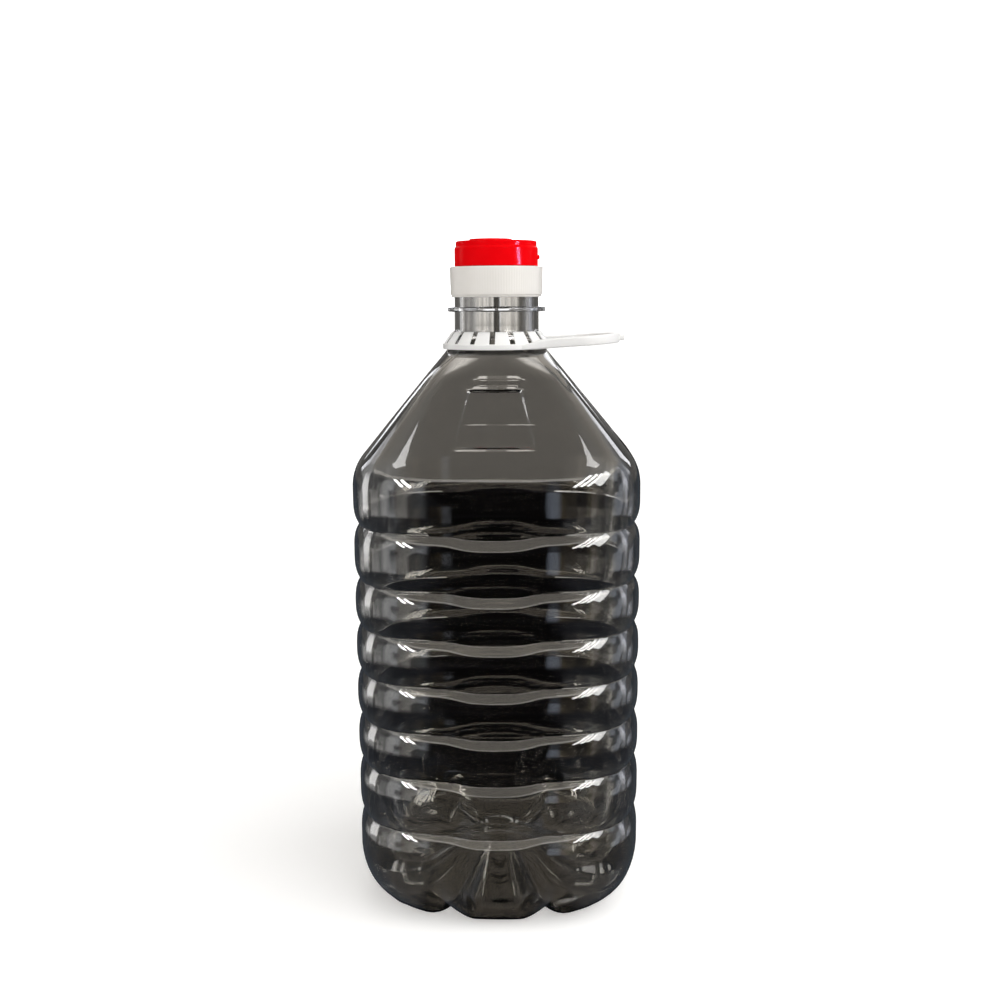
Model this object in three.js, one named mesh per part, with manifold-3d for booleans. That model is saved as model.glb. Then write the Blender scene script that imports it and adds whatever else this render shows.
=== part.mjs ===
// A five-litre storage jug: a clear ribbed bottle, a snap-on carry handle, a screw cap and its lid.
// +Z is up, the origin is on the floor under the neck, the front faces -Y and the handle points to +X.
import * as THREE from "three";
import { mergeVertices } from "three/addons/utils/BufferGeometryUtils.js";
import Module from "manifold-3d";

const wasm = await Module();
wasm.setup();

// Driving dimensions in millimetres, heights measured up from the floor

// The body is a square with soft corners, drawn as a superellipse
const BODY_HALF = 76.2;
const BODY_POWER = 3.6;
const WALL = 0.9;
const SIDES = 48;

// Seven grooves ring the body, deep and wide on the faces, slight at the corners
const TOP_GROOVE = 211;
const GROOVE_PITCH = 24.8;
const END_PITCH = 29;
const GROOVES = 7;
const FACE_GROOVE = { depth: 4.4, reach: 7.4 };
const CORNER_GROOVE = { depth: 1.9, reach: 4.2 };
const GROOVE_FLOOR = 0.25;

// The base stands on eight feet round a raised centre, with a valley between each two
const FOOT_INNER = 46;
const FOOT_OUTER = 55;
const FOOT_POWER = 2.1;
const FOOT_SHARE = 0.6;
const FEET = 8;
const HEEL_HEIGHT = 30;
const PUNT_RADIUS = 9.4;
const PUNT_HEIGHT = 29;
const VALLEY_RISE = 8;
const FLANK_CURVE = 1.3;
const FLANK_STEPS = 4;
const HEEL_STEPS = 4;

// The shoulder bends in and runs straight up to the neck, growing round on the way
const SHOULDER_BEND = 25;
const SHOULDER_START = 230.5;
const SHOULDER_SLOPE = 0.82;
const ROUND_FROM = 270;
const ROUND_AT = 300;
const BEND_STEPS = 3;

// One shallow panel is pressed into each face of the shoulder
const PANEL_BOTTOM = 252.5;
const PANEL_TOP = 281.5;
const PANEL_BOTTOM_HALF = 22;
const PANEL_TOP_HALF = 13.5;
const PANEL_EDGE = 2.4;
const PANEL_DEPTH = 1.3;

// The neck carries a support ring and ends just under the cap's top plate
const NECK_RADIUS = 22.5;
const NECK_BORE = 20.2;
const NECK_START = 308;
const NECK_FILLET = 3;
const RIM = 341.1;
const RING_RADIUS = 26;
const RING_BOTTOM = 319.8;
const RING_TOP = 322.4;
const RING_CHAMFER = 0.7;

// The handle's collar is a slotted cone round the foot of the neck
const COLLAR_BOTTOM = 300.3;
const COLLAR_TOP = 309.5;
const COLLAR_RADIUS = 28.9;
const COLLAR_TOP_RADIUS = 23.8;
const COLLAR_BORE = 28;
const COLLAR_TOP_BORE = 22.95;
const COLLAR_RIM = 3;
const COLLAR_RIM_BORE = 27;
const SLOTS = 16;
const SLOT_WIDTH = 2.9;
const SLOT_TURN = -3.6;

// The handle's loop is a strap of two arms and a round end that rises a little outwards
const ARM_START = 17.5;
const ARM_SPREAD = 22.5;
const LOOP_BEND = 44.2;
const LOOP_END = 20;
const LOOP_TILT = 3.5;
const LOOP_START_HEIGHT = 302.9;
const STRAP_HEIGHT = 5;
const STRAP_THICKNESS = 3.6;
const STRAP_CHAMFER = 0.9;
const STRAP_STEPS = 32;
const TAB_SIZE = { length: 5, width: 6, height: 2.6 };
const TAB_OVERHANG = 2.4;

// The screw cap and the lid that sits on it
const CAP_BOTTOM = 327.5;
const CAP_TOP = 343.3;
const CAP_RADIUS = 24.8;
const CAP_FOOT_RADIUS = 24.5;
const CAP_BORE = 22.8;
const CAP_PLATE = 1.7;
const CAP_EDGE = 0.6;
const CAP_LIP = 1.1;
const LID_BOTTOM = 343.6;
const LID_STEP = 353;
const LID_TOP = 356.6;
const LID_RADIUS = 22.2;
const LID_TOP_RADIUS = 21.5;
const LID_WALL = 1.6;
const LID_EDGE = 0.8;
const PAD_RADIUS = 11.2;
const PAD_RISE = 1.2;
const PAD_SHIFT = -3;
const LUG_SIZE = { length: 3, width: 6, height: 2.2 };
const LUG_HEIGHT = 348.2;
const LUG_OVERHANG = 0.9;

const CLEAR_PLASTIC = { color: 0x4a4845, roughness: 0.08, metalness: 0, opacity: 0.55, transparent: true };
const WHITE_PLASTIC = { color: 0xf1f0ec, roughness: 0.4, metalness: 0 };
const RED_PLASTIC = { color: 0xc31622, roughness: 0.3, metalness: 0 };

const { lerp, smoothstep, degToRad } = THREE.MathUtils;
const TURN = 2 * Math.PI;

// Distance from the axis to a superellipse of the given half width
function sectionRadius(half, power, angle) {
  const across = Math.abs(Math.cos(angle)) ** power;
  const along = Math.abs(Math.sin(angle)) ** power;
  return half / (across + along) ** (1 / power);
}

// 1 in the middle of a face, 0 at a corner
function faceShare(angle) {
  return (Math.cos(4 * angle) + 1) / 2;
}

// 0 on a foot, 1 along the line of a valley
function valleyShare(angle) {
  const pitch = TURN / FEET;
  const fromFoot = Math.abs(angle / pitch - Math.round(angle / pitch)) * 2;
  const flank = Math.max(0, 1 - (1 - fromFoot) / FOOT_SHARE);
  return flank ** 2;
}

// One ring of the underside: rise is how far its valleys are lifted off the feet, from 0 to 1
function baseRing(half, power, height, rise) {
  return (angle) => ({
    radius: sectionRadius(half, power, angle),
    height: height + VALLEY_RISE * rise * valleyShare(angle),
  });
}

// Rings from the punt, down its flank to the feet and round the heel to the wall
function baseRings() {
  const rings = [];
  for (let i = 0; i <= FLANK_STEPS; i++) {
    const t = i / FLANK_STEPS;
    const half = lerp(PUNT_RADIUS, FOOT_INNER, t);
    const power = lerp(2, FOOT_POWER, t);
    const height = PUNT_HEIGHT * (1 - t) ** FLANK_CURVE;
    rings.push(baseRing(half, power, height, Math.sin((t * Math.PI) / 2)));
  }
  for (let i = 0; i <= HEEL_STEPS; i++) {
    const t = i / HEEL_STEPS;
    const turn = (t * Math.PI) / 2;
    const half = lerp(FOOT_OUTER, BODY_HALF, Math.sin(turn));
    const power = lerp(FOOT_POWER, BODY_POWER, t);
    const height = HEEL_HEIGHT * (1 - Math.cos(turn));
    rings.push(baseRing(half, power, height, Math.cos(turn)));
  }
  return rings;
}

// Heights of the grooves from the lowest up: the first and last bands are a little taller
function grooveHeights() {
  const heights = [TOP_GROOVE];
  for (let i = 1; i < GROOVES; i++) {
    const pitch = i === 1 || i === GROOVES - 1 ? END_PITCH : GROOVE_PITCH;
    heights.unshift(heights[0] - pitch);
  }
  return heights;
}

// Four rings shape each groove: its two edges and the two sides of its floor
function grooveRings() {
  const rings = [];
  for (const height of grooveHeights()) {
    for (const [side, share] of [[-1, 0], [-GROOVE_FLOOR, 1], [GROOVE_FLOOR, 1], [1, 0]]) {
      rings.push((angle) => {
        const face = faceShare(angle);
        const depth = lerp(CORNER_GROOVE.depth, FACE_GROOVE.depth, face);
        const reach = lerp(CORNER_GROOVE.reach, FACE_GROOVE.reach, face);
        return {
          radius: sectionRadius(BODY_HALF, BODY_POWER, angle) - share * depth,
          height: height + side * reach,
        };
      });
    }
  }
  return rings;
}

const BEND_TURN = Math.atan(SHOULDER_SLOPE);
const BEND_TOP = SHOULDER_START + SHOULDER_BEND * Math.sin(BEND_TURN);
const BEND_TOP_HALF = BODY_HALF - SHOULDER_BEND * (1 - Math.cos(BEND_TURN));

// Half width of the shoulder at a height: first the bend, then the straight slope
function shoulderHalf(height) {
  if (height > BEND_TOP) {
    return BEND_TOP_HALF - SHOULDER_SLOPE * (height - BEND_TOP);
  }
  const rise = Math.max(0, height - SHOULDER_START);
  return BODY_HALF - SHOULDER_BEND + Math.sqrt(SHOULDER_BEND ** 2 - rise ** 2);
}

// How deep the panel is pressed in at a height and a sideways distance from the face's middle
function panelDepth(height, sideways) {
  const t = (height - PANEL_BOTTOM) / (PANEL_TOP - PANEL_BOTTOM);
  const half = lerp(PANEL_BOTTOM_HALF, PANEL_TOP_HALF, t);
  const inside = Math.min(half - sideways, height - PANEL_BOTTOM, PANEL_TOP - height);
  return PANEL_DEPTH * smoothstep(inside, 0, PANEL_EDGE);
}

// One ring of the shoulder, with its panels
function shoulderRing(height) {
  const half = shoulderHalf(height);
  const power = lerp(BODY_POWER, 2, smoothstep(height, ROUND_FROM, ROUND_AT));
  return (angle) => {
    const radius = sectionRadius(half, power, angle);
    const fromFace = angle - Math.round(angle / (TURN / 4)) * (TURN / 4);
    const sideways = Math.abs(radius * Math.sin(fromFace));
    return { radius: radius - panelDepth(height, sideways), height };
  };
}

function shoulderRings() {
  const bend = [];
  for (let i = 0; i < BEND_STEPS; i++) {
    bend.push(lerp(SHOULDER_START, BEND_TOP, i / (BEND_STEPS - 1)));
  }
  const slope = [
    PANEL_BOTTOM,
    PANEL_BOTTOM + PANEL_EDGE,
    PANEL_TOP - PANEL_EDGE,
    PANEL_TOP,
    (PANEL_TOP + ROUND_AT) / 2,
    ROUND_AT,
    NECK_START - NECK_FILLET,
  ];
  return [...bend, ...slope].map(shoulderRing);
}

function roundRing(radius, height) {
  return () => ({ radius, height });
}

// The outside of the neck from the shoulder to the rim
function neckRings() {
  return [
    roundRing(NECK_RADIUS, NECK_START),
    roundRing(NECK_RADIUS, RING_BOTTOM),
    roundRing(RING_RADIUS, RING_BOTTOM + RING_CHAMFER),
    roundRing(RING_RADIUS, RING_TOP - RING_CHAMFER),
    roundRing(NECK_RADIUS, RING_TOP),
    roundRing(NECK_RADIUS, RIM),
  ];
}

// Each ring as points round the axis
function ringPoints(ring) {
  const points = [];
  for (let i = 0; i < SIDES; i++) {
    const angle = (i / SIDES) * TURN;
    const { radius, height } = ring(angle);
    points.push(new THREE.Vector3(radius * Math.cos(angle), radius * Math.sin(angle), height));
  }
  return points;
}

// The same rings moved in by the wall, square to the surface
function innerLoops(loops) {
  return loops.slice(0, -1).map((loop, row) => {
    const below = loops[Math.max(0, row - 1)];
    const above = loops[row + 1];
    return loop.map((point, i) => {
      const next = loop[(i + 1) % SIDES];
      const last = loop[(i + SIDES - 1) % SIDES];
      const round = next.clone().sub(last);
      const up = above[i].clone().sub(below[i]);
      const out = round.cross(up).normalize();
      return point.clone().addScaledVector(out, -WALL);
    });
  });
}

// A closed solid through a stack of loops that starts and ends on the axis
function loftSolid(loops, startHeight, endHeight) {
  const positions = [0, 0, startHeight];
  for (const loop of loops) {
    for (const point of loop) {
      positions.push(...point.toArray());
    }
  }
  positions.push(0, 0, endHeight);
  const vertex = (row, i) => 1 + row * SIDES + (i % SIDES);
  const end = positions.length / 3 - 1;
  const index = [];
  for (let i = 0; i < SIDES; i++) {
    index.push(0, vertex(0, i + 1), vertex(0, i));
    index.push(end, vertex(loops.length - 1, i), vertex(loops.length - 1, i + 1));
    for (let row = 0; row + 1 < loops.length; row++) {
      const corners = [vertex(row, i), vertex(row, i + 1), vertex(row + 1, i + 1), vertex(row + 1, i)];
      index.push(corners[0], corners[1], corners[2], corners[0], corners[2], corners[3]);
    }
  }
  const geometry = new THREE.BufferGeometry();
  geometry.setAttribute("position", new THREE.Float32BufferAttribute(positions, 3));
  geometry.setIndex(index);
  return geometry;
}

// The bottle: its outside up to the rim, then its inside back down to the punt
function bottleGeometry() {
  const shell = [...baseRings(), ...grooveRings(), ...shoulderRings()].map(ringPoints);
  const neck = neckRings().map(ringPoints);
  const inside = innerLoops([...shell, neck[0]]).reverse();
  const bore = [roundRing(NECK_BORE, RIM), roundRing(NECK_BORE, NECK_START)].map(ringPoints);
  const loops = [...shell, ...neck, ...bore, ...inside];
  return loftSolid(loops, PUNT_HEIGHT, PUNT_HEIGHT + WALL);
}

// A closed mesh as a solid that can be joined and cut
function solidFrom(geometry) {
  const bare = geometry.clone();
  bare.deleteAttribute("normal");
  bare.deleteAttribute("uv");
  const merged = mergeVertices(bare, 1e-3);
  const vertProperties = new Float32Array(merged.attributes.position.array);
  const triVerts = new Uint32Array(merged.index.array);
  return new wasm.Manifold(new wasm.Mesh({ numProp: 3, vertProperties, triVerts }));
}

function geometryFrom(solid) {
  const { vertProperties, triVerts } = solid.getMesh();
  const geometry = new THREE.BufferGeometry();
  geometry.setAttribute("position", new THREE.BufferAttribute(vertProperties, 3));
  geometry.setIndex(new THREE.BufferAttribute(triVerts, 1));
  geometry.computeVertexNormals();
  return geometry;
}

// A profile of [radius, height] points turned about the vertical axis
function turned(profile) {
  const points = profile.map(([radius, height]) => new THREE.Vector2(radius, height));
  return new THREE.LatheGeometry(points, SIDES).rotateX(Math.PI / 2);
}

function box({ length, width, height }, x, z) {
  return new THREE.BoxGeometry(length, width, height).translate(x, 0, z);
}

// The slotted cone that grips the neck
function collarSolid() {
  const profile = [
    [COLLAR_BORE, COLLAR_BOTTOM],
    [COLLAR_RADIUS, COLLAR_BOTTOM],
    [COLLAR_RADIUS, COLLAR_BOTTOM + COLLAR_RIM],
    [COLLAR_TOP_RADIUS, COLLAR_TOP],
    [COLLAR_TOP_BORE, COLLAR_TOP],
    [COLLAR_RIM_BORE, COLLAR_BOTTOM + COLLAR_RIM],
    [COLLAR_BORE, COLLAR_BOTTOM],
  ];
  let collar = solidFrom(turned(profile));
  const slotBottom = COLLAR_BOTTOM + COLLAR_RIM;
  const slotReach = 2 * (COLLAR_TOP - slotBottom);
  for (let i = 0; i < SLOTS; i++) {
    const slot = new THREE.BoxGeometry(slotReach, SLOT_WIDTH, slotReach);
    slot.translate(COLLAR_RADIUS, 0, slotBottom + slotReach / 2);
    slot.rotateZ((i / SLOTS) * TURN + degToRad(SLOT_TURN));
    collar = collar.subtract(solidFrom(slot));
  }
  return collar;
}

// The middle line of the strap: out along one arm, round the end and back along the other
class LoopCurve extends THREE.Curve {
  getPoint(t, target = new THREE.Vector3()) {
    const fromTip = 2 * t - 1;
    const turn = Math.min(1, 2 * Math.abs(fromTip)) * (Math.PI / 2);
    const alongArm = Math.max(0, 2 * Math.abs(fromTip) - 1);
    const x = lerp(LOOP_BEND + LOOP_END * Math.cos(turn), ARM_START, alongArm);
    const y = Math.sign(fromTip) * ARM_SPREAD * Math.sin(turn);
    const rise = (x - ARM_START) * Math.tan(degToRad(LOOP_TILT));
    return target.set(x, y, LOOP_START_HEIGHT + rise);
  }
}

// The strap's section, tall and thin with its edges taken off
function strapSection() {
  const up = STRAP_HEIGHT / 2;
  const side = STRAP_THICKNESS / 2;
  const section = new THREE.Shape();
  section.moveTo(-up + STRAP_CHAMFER, -side);
  section.lineTo(up - STRAP_CHAMFER, -side);
  section.lineTo(up, -side + STRAP_CHAMFER);
  section.lineTo(up, side - STRAP_CHAMFER);
  section.lineTo(up - STRAP_CHAMFER, side);
  section.lineTo(-up + STRAP_CHAMFER, side);
  section.lineTo(-up, side - STRAP_CHAMFER);
  section.lineTo(-up, -side + STRAP_CHAMFER);
  section.closePath();
  return section;
}

function carryHandleGeometry() {
  const curve = new LoopCurve();
  const strap = new THREE.ExtrudeGeometry(strapSection(), { steps: STRAP_STEPS, extrudePath: curve });
  const tip = curve.getPoint(0.5);
  const tabX = tip.x + STRAP_THICKNESS / 2 + TAB_OVERHANG - TAB_SIZE.length / 2;
  const tab = box(TAB_SIZE, tabX, tip.z);
  const handle = collarSolid().add(solidFrom(strap)).add(solidFrom(tab));
  return geometryFrom(handle);
}

// The white screw cap: a skirt with a lip at its foot and a plate on top
function capBaseGeometry() {
  return turned([
    [0, CAP_TOP - CAP_PLATE],
    [CAP_BORE, CAP_TOP - CAP_PLATE],
    [CAP_BORE, CAP_BOTTOM],
    [CAP_FOOT_RADIUS - CAP_EDGE, CAP_BOTTOM],
    [CAP_FOOT_RADIUS - CAP_EDGE, CAP_BOTTOM + CAP_LIP],
    [CAP_FOOT_RADIUS, CAP_BOTTOM + CAP_LIP + CAP_EDGE],
    [CAP_RADIUS, CAP_TOP - CAP_EDGE],
    [CAP_RADIUS - CAP_EDGE, CAP_TOP],
    [0, CAP_TOP],
  ]);
}

// The red lid: a cup turned over, with a raised pad on top and a thumb lug at the side
function capLidGeometry() {
  const cup = turned([
    [0, LID_TOP - LID_WALL],
    [LID_TOP_RADIUS - LID_WALL, LID_TOP - LID_WALL],
    [LID_TOP_RADIUS - LID_WALL, LID_BOTTOM],
    [LID_RADIUS, LID_BOTTOM],
    [LID_RADIUS, LID_STEP],
    [LID_TOP_RADIUS, LID_STEP + LID_EDGE],
    [LID_TOP_RADIUS, LID_TOP - LID_EDGE],
    [LID_TOP_RADIUS - LID_EDGE, LID_TOP],
    [0, LID_TOP],
  ]);
  const pad = new THREE.CylinderGeometry(PAD_RADIUS - PAD_RISE / 2, PAD_RADIUS, 2 * PAD_RISE, SIDES);
  pad.rotateX(Math.PI / 2).translate(PAD_SHIFT, 0, LID_TOP);
  const lug = box(LUG_SIZE, LID_RADIUS + LUG_OVERHANG - LUG_SIZE.length / 2, LUG_HEIGHT);
  return geometryFrom(solidFrom(cup).add(solidFrom(pad)).add(solidFrom(lug)));
}

function named(name, geometry, look) {
  const mesh = new THREE.Mesh(geometry, new THREE.MeshStandardMaterial(look));
  mesh.name = name;
  return mesh;
}

const jug = new THREE.Group();
jug.add(named("bottle", bottleGeometry(), CLEAR_PLASTIC));
jug.add(named("carry_handle", carryHandleGeometry(), WHITE_PLASTIC));
jug.add(named("cap_base", capBaseGeometry(), WHITE_PLASTIC));
jug.add(named("cap_lid", capLidGeometry(), RED_PLASTIC));

export default jug;
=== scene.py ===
"""A clear ribbed storage jug with its carry handle, screw cap and lid, dressed over its frame."""

import itertools
import math
from collections import namedtuple

import bpy
from bpy.props import FloatProperty, FloatVectorProperty, IntProperty, PointerProperty
from mathutils import Matrix, Vector


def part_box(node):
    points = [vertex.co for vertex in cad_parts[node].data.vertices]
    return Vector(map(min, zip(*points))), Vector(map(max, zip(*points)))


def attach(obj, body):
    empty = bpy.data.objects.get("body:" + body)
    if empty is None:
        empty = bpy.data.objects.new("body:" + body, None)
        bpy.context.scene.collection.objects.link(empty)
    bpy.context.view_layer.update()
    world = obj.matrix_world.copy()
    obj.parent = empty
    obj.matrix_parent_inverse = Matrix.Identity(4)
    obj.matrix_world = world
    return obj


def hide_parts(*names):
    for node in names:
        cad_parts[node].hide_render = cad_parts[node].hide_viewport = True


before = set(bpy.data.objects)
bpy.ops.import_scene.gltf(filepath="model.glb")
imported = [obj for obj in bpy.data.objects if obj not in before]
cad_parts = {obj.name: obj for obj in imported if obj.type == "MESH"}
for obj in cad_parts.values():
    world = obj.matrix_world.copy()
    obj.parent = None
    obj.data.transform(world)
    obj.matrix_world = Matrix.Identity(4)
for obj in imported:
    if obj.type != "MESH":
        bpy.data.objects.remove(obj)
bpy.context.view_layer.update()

bl_info = {
    "name": "Storage Jug",
    "version": (1, 0, 0),
    "blender": (4, 5, 0),
    "location": "View3D > Sidebar > Jug",
    "description": "Builds a clear ribbed storage jug with a carry handle, a screw cap and a lid",
    "category": "Add Mesh",
}

MM = 0.001
_, BOTTLE_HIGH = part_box("bottle")
HANDLE_LOW, HANDLE_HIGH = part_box("carry_handle")
CAP_LOW, CAP_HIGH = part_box("cap_base")
LID_LOW, LID_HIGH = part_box("cap_lid")

# The handle's tab starts at the outside of the loop's round end
LOOP_BEND = 44.2 * MM
LOOP_END = 20 * MM
STRAP_THICKNESS = 3.6 * MM
LOOP_TIP = LOOP_BEND + LOOP_END + STRAP_THICKNESS / 2


# Settings that a user would change


def length(name, description, default):
    return FloatProperty(
        name=name, description=description, default=default, precision=5, unit="LENGTH"
    )


def share(name, description, default):
    return FloatProperty(name=name, description=description, default=default, min=0.0, subtype="FACTOR")


def number(name, description, default):
    return FloatProperty(name=name, description=description, default=default)


def count(name, description, default):
    return IntProperty(name=name, description=description, default=default, min=1)


def angle(name, description, degrees):
    return FloatProperty(
        name=name, description=description, default=math.radians(degrees), subtype="ANGLE"
    )


def colour(name, description, default):
    return FloatVectorProperty(
        name=name, description=description, default=default, size=3, min=0.0, max=1.0, subtype="COLOR"
    )


class JugBottle(bpy.types.PropertyGroup):
    """Sizes of the blown bottle."""

    body_half: length("Body half width", "From the axis to the middle of a face", BOTTLE_HIGH.x)
    body_power: number("Body squareness", "Power of the body's superellipse", 3.6)
    wall: length("Wall", "Thickness of the blown wall", 0.8 * MM)
    unevenness: length("Unevenness", "How far the blown wall wanders", 0.22 * MM)
    columns: count("Columns", "Points round the bottle", 224)
    seam: length("Mould seam", "Height of the two mould seams on opposite corners", 0.45 * MM)

    top_groove: length("Top groove", "Height of the highest groove", 211 * MM)
    groove_pitch: length("Groove pitch", "From groove to groove", 24.8 * MM)
    end_pitch: length("End pitch", "Pitch of the first and the last band", 29 * MM)
    grooves: count("Grooves", "Grooves round the body", 7)
    face_depth: length("Face groove depth", "Depth in the middle of a face", 4.4 * MM)
    corner_depth: length("Corner groove depth", "Depth at a corner", 3 * MM)
    groove_reach: length("Groove reach", "From a groove's middle to its bands' crests", 12.2 * MM)
    face_power: number("Face groove power", "How soon a groove's walls round over on a face", 3.4)
    corner_power: number("Corner groove power", "How soon a groove's walls round over at a corner", 2.5)
    face_floor: share("Groove floor", "Share of a groove that is flat in the middle of a face", 0.25)
    floor_spread: share("Groove floor spread", "How far round from a face's middle the floor runs", 0.4)

    foot_inner: length("Foot inside", "Inner edge of the feet", 46 * MM)
    foot_outer: length("Foot outside", "Outer edge of the feet", 55 * MM)
    foot_power: number("Foot squareness", "Power of the superellipse through the feet", 2.1)
    foot_share: share("Foot share", "Share of a foot's half angle that its flank takes", 0.5)
    foot_curve: number("Foot curve", "How a foot's flank rounds into its face", 1.7)
    feet: count("Feet", "Feet round the base", 8)
    heel_height: length("Heel height", "Where the heel meets the wall", 34 * MM)
    valley_rise: length("Valley rise", "How high the valleys stand over the feet", 8 * MM)
    punt_radius: length("Punt radius", "Flat top of the raised centre", 9.4 * MM)
    punt_height: length("Punt height", "Height of the raised centre", 29 * MM)
    flank_curve: number("Flank curve", "How hollow the underside is between punt and feet", 1.3)

    shoulder_start: length("Shoulder start", "Where the wall begins to bend in", 230.5 * MM)
    shoulder_bend: length("Shoulder bend", "Radius of that bend", 25 * MM)
    shoulder_slope: number("Shoulder slope", "Run of the shoulder for each unit of rise", 0.82)
    shoulder_power: number("Shoulder squareness", "Power of the superellipse high on the shoulder", 4.6)
    round_from: length("Round from", "Where the section starts to grow round", 286 * MM)
    round_at: length("Round at", "Where the section is a circle", 300.3 * MM)

    panel_bottom: length("Panel bottom", "Lower edge of the shoulder's panels", 252.5 * MM)
    panel_top: length("Panel top", "Upper edge of the shoulder's panels", 281.5 * MM)
    panel_half: angle("Panel half width", "From a face's middle to the side of its panel", 19.3)
    panel_side: angle("Panel side", "Width of the panel's sloping sides", 3.2)
    panel_edge: length("Panel edge", "Height of the panel's sloping ends", 2.2 * MM)
    panel_depth: length("Panel depth", "How deep the panels are pressed in", 2.0 * MM)

    neck_radius: length("Neck radius", "Outside of the neck", 22.5 * MM)
    neck_bore: length("Neck bore", "Inside of the neck", 20.2 * MM)
    neck_start: length("Neck start", "Where the neck stands straight", 308 * MM)
    neck_fillet: length("Neck fillet", "Height of the bend from the shoulder to the neck", 5 * MM)
    rim: length("Rim", "Height of the mouth", BOTTLE_HIGH.z)
    ring_radius: length("Ring radius", "Outside of the support ring", 26 * MM)
    ring_bottom: length("Ring bottom", "Underside of the support ring", 319.8 * MM)
    ring_top: length("Ring top", "Top of the support ring", 322.4 * MM)


class JugHandle(bpy.types.PropertyGroup):
    """Sizes of the carry handle."""

    bottom: length("Collar bottom", "Underside of the collar", HANDLE_LOW.z)
    top: length("Collar top", "Top of the collar's fingers", 309.5 * MM)
    radius: length("Collar radius", "Outside of the collar's rim", -HANDLE_LOW.x)
    top_radius: length("Collar top radius", "Outside of the fingers at their tips", 23.8 * MM)
    bore: length("Collar bore", "Inside of the rim at its foot", 28 * MM)
    rim_bore: length("Rim bore", "Inside of the rim where the fingers start", 27 * MM)
    rim: length("Rim height", "Height of the rim under the fingers", 3 * MM)
    finger: length("Finger thickness", "Thickness of a finger", 1.1 * MM)
    slots: count("Slots", "Slots round the collar", 16)
    slot_width: length("Slot width", "Width of a slot", 2.9 * MM)
    slot_turn: angle("Slot turn", "Turn of the slots about the axis", -3.6)

    arm_start: length("Arm start", "Where the arms leave the collar", 13 * MM)
    arm_root: length("Arm root", "From the axis to the middle of an arm at the collar", 24.6 * MM)
    arm_blend: length("Arm blend", "Where an arm has its full section", 27 * MM)
    root_share: share("Root share", "Share of the full section that an arm starts with", 0.5)
    root_drop: length("Root drop", "How far an arm starts under its line", 1.1 * MM)
    arm_spread: length("Arm spread", "From the axis to the middle of an arm", 22.5 * MM)
    loop_bend: length("Loop bend", "Where the round end of the loop starts", LOOP_BEND)
    loop_end: length("Loop end", "How far the round end reaches past that", LOOP_END)
    loop_tilt: angle("Loop tilt", "How steeply the loop rises outwards", 3.5)
    collar_edge: length("Collar edge", "Where the loop's height is measured", 17.5 * MM)
    loop_height: length("Loop height", "Middle of the strap at the collar's edge", 302.9 * MM)
    strap_height: length("Strap height", "Height of the strap", 5 * MM)
    strap_thickness: length("Strap thickness", "Thickness of the strap", STRAP_THICKNESS)
    strap_fillet: length("Strap fillet", "Rounding of the strap's edges", 0.9 * MM)
    tab_length: length("Tab length", "How far the tab stands out of the loop", HANDLE_HIGH.x - LOOP_TIP)
    tab_height: length("Tab height", "Height of the tab", 2.6 * MM)


class JugCap(bpy.types.PropertyGroup):
    """Sizes of the screw cap and its lid."""

    bottom: length("Cap bottom", "Foot of the cap's skirt", CAP_LOW.z)
    top: length("Cap top", "Top of the cap's plate", CAP_HIGH.z)
    radius: length("Cap radius", "Outside of the cap at its top", CAP_HIGH.x)
    foot_radius: length("Cap foot radius", "Outside of the cap over its lip", 24.5 * MM)
    bore: length("Cap bore", "Inside of the skirt", 22.8 * MM)
    plate: length("Cap plate", "Thickness of the cap's plate", 1.7 * MM)
    lip: length("Cap lip", "Height of the lip at the foot", 1.1 * MM)
    edge: length("Cap edge", "Rounding of the cap's edges", 0.6 * MM)
    ribs: count("Cap ribs", "Fine grip ribs round the skirt", 110)
    rib_depth: length("Cap rib depth", "Depth of the grip ribs", 0.035 * MM)

    lid_bottom: length("Lid bottom", "Foot of the lid", LID_LOW.z)
    lid_step: length("Lid step", "Where the lid narrows", 353 * MM)
    lid_top: length("Lid top", "Top of the lid round its pad", 356.6 * MM)
    lid_radius: length("Lid radius", "Outside of the lid", -LID_LOW.x)
    lid_top_radius: length("Lid top radius", "Outside of the lid over its step", 21.5 * MM)
    lid_wall: length("Lid wall", "Thickness of the lid", 1.6 * MM)
    lid_edge: length("Lid edge", "Rounding of the lid's edges", 0.8 * MM)
    pad_radius: length("Pad radius", "Raised pad on the lid", 11.2 * MM)
    pad_shift: length("Pad shift", "How far the pad sits off the axis", -3 * MM)
    pad_top: length("Pad top", "Top of the pad", LID_HIGH.z)
    lug_height: length("Lug height", "Middle of the thumb lug", 348.2 * MM)
    lug_reach: length("Lug reach", "How far out the thumb lug stands", LID_HIGH.x)


class JugColours(bpy.types.PropertyGroup):
    """Colours of the plastics."""

    # Partly the wall's own tint and partly painted shade: this smoky tint darkens the whole clear wall
    smoke_and_shade: colour("Smoke", "Tint of the clear wall", (0.68, 0.665, 0.635))
    white: colour("White", "Carry handle", (0.92, 0.92, 0.915))
    ivory: colour("Ivory", "Screw cap", (0.86, 0.835, 0.795))
    red: colour("Red", "Lid", (0.9, 0.002, 0.005))
    floor: colour("Floor", "Pale studio floor", (0.9, 0.9, 0.9))


class JugStage(bpy.types.PropertyGroup):
    """Camera and light of the studio."""

    distance: length("Distance", "From the neck's axis to the camera, level", 675 * MM)
    height: length("Height", "Camera over the floor", 326 * MM)
    azimuth: angle("Azimuth", "How far right of the front the camera stands", 1.5)
    pitch: angle("Pitch", "How far down the camera looks", 10.0)
    roll: angle("Roll", "Lean of the camera", 0.4)
    lens: number("Lens", "Focal length in millimetres on a 36 mm sensor", 44.75)
    shift_x: number("Shift X", "Sideways shift of the frame", 0.002)
    shift_y: number("Shift Y", "Upward shift of the frame", 0.019)
    lamp: number("Lamp", "Strength of the soft overhead light", 2.4)
    window: number("Window", "Strength of the window's panes in watts", 20.0)
    room: number("Room", "Brightness of the room round the jug", 2.0)


# Node trees


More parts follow.
